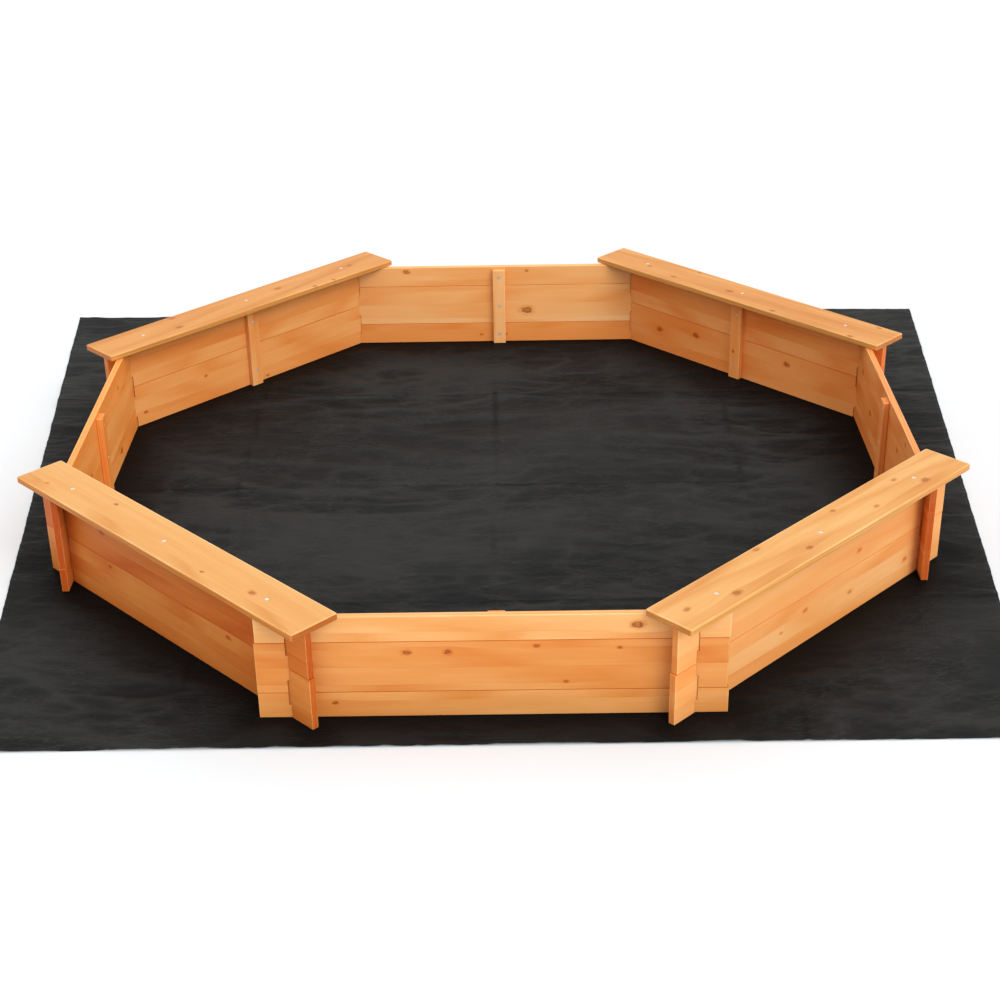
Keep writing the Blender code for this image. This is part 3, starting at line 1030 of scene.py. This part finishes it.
def make_sheet(corners):
    front_left, front_right, back_right, back_left = corners
    bm = bmesh.new()
    grubby = bm.verts.layers.float.new("grubby")
    crest = bm.verts.layers.float.new("crest")
    grid = []
    for row in range(SHEET_ROWS + 1):
        v = row / SHEET_ROWS
        left = front_left.lerp(back_left, v)
        right = front_right.lerp(back_right, v)
        line = []
        for column in range(SHEET_COLUMNS + 1):
            point = left.lerp(right, column / SHEET_COLUMNS)
            under = near_walls(point.x, point.y, PRESSED_REACH)
            rise = sheet_height(point.x, point.y) * (1 - under)
            vertex = bm.verts.new((point.x, point.y, PRESSED_HEIGHT + rise))
            vertex[grubby] = near_walls(point.x, point.y, WALL_SHADE_REACH)
            # Painted highlight on wrinkle crests; fold lines are kept out of it and come out
            # darker, as painted shade.
            folded = fold(point.x, FOLDS_X, point.y) + fold(point.y, FOLDS_Y, point.x)
            vertex[crest] = min(1.0, rise / CREST_HEIGHT) - folded / FOLD_RISE
            line.append(vertex)
        grid.append(line)
    for lower, upper in zip(grid, grid[1:]):
        for i in range(SHEET_COLUMNS):
            bm.faces.new((lower[i], lower[i + 1], upper[i + 1], upper[i]))
    return bm


# %% Woven polypropylene
CRINKLE_SCALE = (20.0, 62.0, 20.0)       # per metre: crinkles 50 mm long and 15 mm apart
WALL_SHADE_SHARE = 0.8


def woven_polypropylene():
    """Black tapes woven over and under; matt, with a faint grey sheen that is partly gloss and
    partly a painted highlight on crinkles and crests.
    """
    material, tree, shader = new_material("woven_polypropylene")
    place = add(tree, "TexCoord").node.outputs["Object"]
    # Fine crinkles: thin lines where a stretched noise crosses its middle value, in patches.
    lines_at = add(tree, VECTOR, (place, CRINKLE_SCALE), "MULTIPLY")
    lines = add(tree, NOISE, {"Vector": lines_at, "Scale": 1.0, "Detail": 3.0, "Roughness": 0.55})
    off_line = add(tree, MATH, (lines, 0.5), "SUBTRACT")
    off_line = add(tree, MATH, (off_line,), "ABSOLUTE")
    line = add(tree, RANGE, {"Value": off_line, "From Max": 0.07, "To Min": 1.0,
                             "To Max": 0.0}, interpolation_type="SMOOTHSTEP")
    patch = add(tree, NOISE, {"Vector": place, "Scale": 7.0, "Detail": 2.0})
    patched = add(tree, RANGE, {"Value": patch, "From Min": 0.35, "From Max": 0.65})
    crinkle = add(tree, MATH, (line, patched), "MULTIPLY")
    # Painted highlight: crests and crinkle lines are painted grey. Painted shade: the hollows
    # between crinkles and the fold lines stay black.
    crest = add(tree, "Attribute", attribute_name="crest").node.outputs["Fac"]
    painted_sheen_and_shade = add(tree, MATH, (crinkle, 0.5, crest), "MULTIPLY_ADD")
    dust = add(tree, NOISE, {"Vector": place, "Scale": 3.0, "Detail": 4.0})
    dust_sheen_and_shade = add(tree, MATH, (dust, 0.25, painted_sheen_and_shade), "MULTIPLY_ADD")
    colour = add(tree, "ValToRGB", {"Fac": dust_sheen_and_shade}, stops=[
        (0.0, "151515"), (1.0, "2D2D2C"), (0.35, "1E1E1E"),
    ])
    # Painted shade: the sheet is painted darker near the walls.
    grubby = add(tree, "Attribute", attribute_name="grubby").node.outputs["Fac"]
    grubby_share = add(tree, MATH, (grubby, WALL_SHADE_SHARE), "MULTIPLY")
    wall_shaded_colour = add(tree, MIX, {"Factor": grubby_share, "A": colour, "B": srgb("0B0B0B")},
                  data_type="RGBA")
    roughness = add(tree, RANGE, {"Value": crinkle, "To Min": 0.50, "To Max": 0.62})
    bump = add(tree, "Bump", {"Height": crinkle, "Strength": 0.7, "Distance": 0.002})
    give(tree, shader, {"Base Color": wall_shaded_colour, "Roughness": roughness, "Normal": bump,
                        "IOR": 1.49, "Specular IOR Level": 0.03})
    return material


# %% Lay the sheet
corners = sheet_corners()
sheet = make_object("cloth_ground_sheet", make_sheet(corners), woven_polypropylene())
sheet.data.shade_smooth()
thickness = sheet.modifiers.new("thickness", "SOLIDIFY")
thickness.thickness = SHEET_THICKNESS
thickness.offset = -1
settle(sheet)
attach(sheet, "root")
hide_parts("ground_sheet")
print("sheet faces:", len(sheet.data.polygons))

# %% [markdown]
# ## Floor, light and camera
#
# A plain white floor, one large soft light from the front right and an even white sky make
# a studio. The tones are left as they are, without a film-like curve, so that white stays
# white and the stain keeps its colour. The floor is matt paper, with a trace of blue that
# makes up for the warm light which the wood throws on it.

# %% Floor
FLOOR_SIZE = 40.0
FLOOR_HEIGHT = -0.0005           # just below the sheet, so the two never flicker


def matt_white_paper():
    """Paper with no gloss; its tone drifts by a hair's breadth over a few metres."""
    material, tree, shader = new_material("matt_white_paper")
    place = add(tree, "TexCoord").node.outputs["Object"]
    tint = add(tree, NOISE, {"Vector": place, "Scale": 0.4, "Detail": 1.0})
    colour = add(tree, "ValToRGB", {"Fac": tint}, stops=[
        (0.3, "D5D8DA"), (0.7, "D7DADC"),
    ])
    give(tree, shader, {"Base Color": colour, "Roughness": 0.9, "Specular IOR Level": 0.1})
    return material


floor_bm = bmesh.new()
bmesh.ops.create_grid(floor_bm, x_segments=1, y_segments=1, size=FLOOR_SIZE / 2)
floor = make_object("floor", floor_bm, matt_white_paper())
floor.location.z = FLOOR_HEIGHT

# %% Light
SKY_STRENGTH = 1.215
KEY_STRENGTH = 1.75
KEY_SPREAD = math.radians(40)            # a wide light has soft shadows
KEY_FROM = Vector((0.47, -0.64, 0.60))

world = bpy.data.worlds.new("even_white_sky")
world.use_nodes = True
background = world.node_tree.nodes["Background"]
background.inputs["Color"].default_value = (1.0, 1.0, 1.0, 1.0)
background.inputs["Strength"].default_value = SKY_STRENGTH
bpy.context.scene.world = world

key_data = bpy.data.lights.new("key_light", "SUN")
key_data.energy = KEY_STRENGTH
key_data.angle = KEY_SPREAD
key = bpy.data.objects.new("key_light", key_data)
bpy.context.collection.objects.link(key)
key.rotation_mode = "QUATERNION"
key.rotation_quaternion = KEY_FROM.to_track_quat("Z", "Y")
bpy.context.scene.view_settings.view_transform = "Standard"
print("key light from", tuple(round(v, 2) for v in KEY_FROM))

# %% Camera
CAMERA_AT = (0.0390, -3.3913, 1.7612)
CAMERA_DOWN = 0.484              # radians below level
CAMERA_LEVEL = -0.0173           # a slight roll
CAMERA_ASIDE = 0.0084

camera_data = bpy.data.cameras.new("camera")
camera_data.lens = 64.48
camera_data.sensor_width = 36.0
camera_data.clip_start = 0.05
camera_data.clip_end = 200.0
camera = bpy.data.objects.new("camera", camera_data)
bpy.context.collection.objects.link(camera)
aim = Matrix.Rotation(CAMERA_ASIDE, 4, "Z")
aim = aim @ Matrix.Rotation(math.pi / 2 - CAMERA_DOWN, 4, "X")
aim = aim @ Matrix.Rotation(CAMERA_LEVEL, 4, "Z")
camera.matrix_world = Matrix.Translation(CAMERA_AT) @ aim
bpy.context.scene.camera = camera
print("camera lens:", round(camera_data.lens, 2), "mm")
